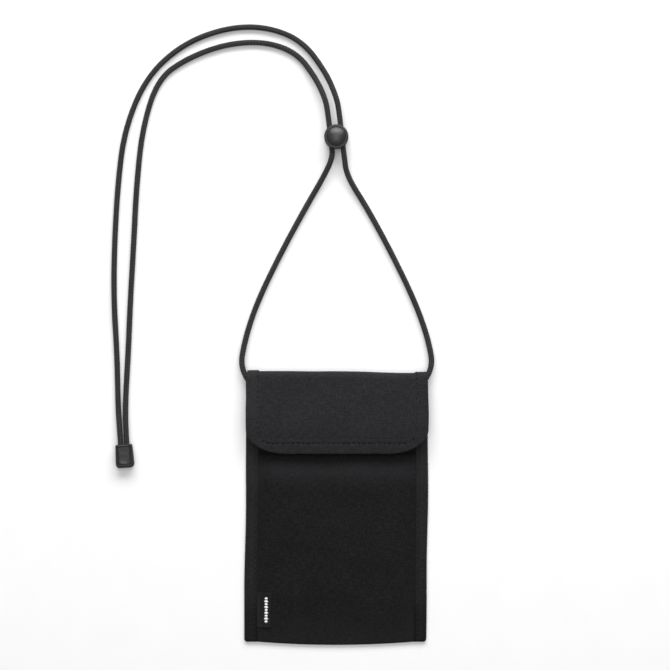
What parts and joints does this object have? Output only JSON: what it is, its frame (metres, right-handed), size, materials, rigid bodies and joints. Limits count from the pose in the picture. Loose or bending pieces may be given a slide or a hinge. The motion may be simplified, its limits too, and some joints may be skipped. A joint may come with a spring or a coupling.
{
  "type": "passport neck wallet",
  "caption": "Flat fabric neck pouch for a passport, with bound sides, a fold-over flap, a round neck cord, a cord lock with a push button, and a plastic cord end.",
  "frame": {"origin": "under the middle of the pouch, on the surface that it lies on", "axes": "+X to the right across the pouch, +Y from the pouch's bottom fold to its top fold and on towards the neck, +Z out of the front"},
  "size_m": [0.2309, 0.4413, 0.0149],
  "materials": {
    "canvas": "fine charcoal plain weave, matt",
    "lining": "thin black plain weave",
    "binding": "charcoal canvas tape, stitched",
    "label": "black woven label with a white woven pattern",
    "hook_and_loop": "black hook-and-loop tape",
    "cord": "round braided cord, charcoal",
    "lock_plastic": "satin moulded black plastic",
    "end_plastic": "satin moulded charcoal plastic",
    "spring_steel": "bright spring wire"
  },
  "bodies": {
    "pouch": {"back_panel": "canvas", "slip_pocket": "lining", "front_panel": "canvas", "mouth_hem": "binding", "side_binding_left": "binding", "side_binding_right": "binding", "woven_label": "label", "loop_patch": "hook_and_loop", "fold_strip": "canvas", "cord_tab_left": "binding", "cord_tab_right": "binding", "neck_cord_left": "cord", "neck_cord_right": "cord", "cord_end_shell": "end_plastic", "cord_end_knot": "cord"},
    "flap": {"flap_panel": "canvas", "flap_lining": "lining", "flap_binding": "binding", "hook_patch": "hook_and_loop"},
    "lock": {"lock_barrel": "lock_plastic", "lock_spring": "spring_steel"},
    "plunger": {"lock_plunger": "lock_plastic"},
    "end_lid": {"cord_end_lid": "end_plastic"}
  },
  "joints": [
    {"name": "flap_fold", "type": "hinge", "parent": "pouch", "child": "flap", "pos_m": [0, 0.0923, 0.0051], "axis": [-1, 0, 0], "range_deg": [0, 160], "deforming": ["fold_strip"]},
    {"name": "lock_slide", "type": "slide", "parent": "pouch", "child": "lock", "axis": [-0.1115, 0.9938, 0], "range_m": [0, 0.01]},
    {"name": "plunger_press", "type": "slide", "parent": "lock", "child": "plunger", "axis": [0, 0, -1], "range_m": [0, 0.002], "stiffness_N_per_m": 1500, "springref_m": -0.002, "deforming": ["lock_spring"]},
    {"name": "end_lid_hinge", "type": "hinge", "parent": "pouch", "child": "end_lid", "pos_m": [-0.15005, 0.03191, 0.0068], "axis": [0.9976, 0.0698, 0], "range_deg": [0, 90]}
  ]
}
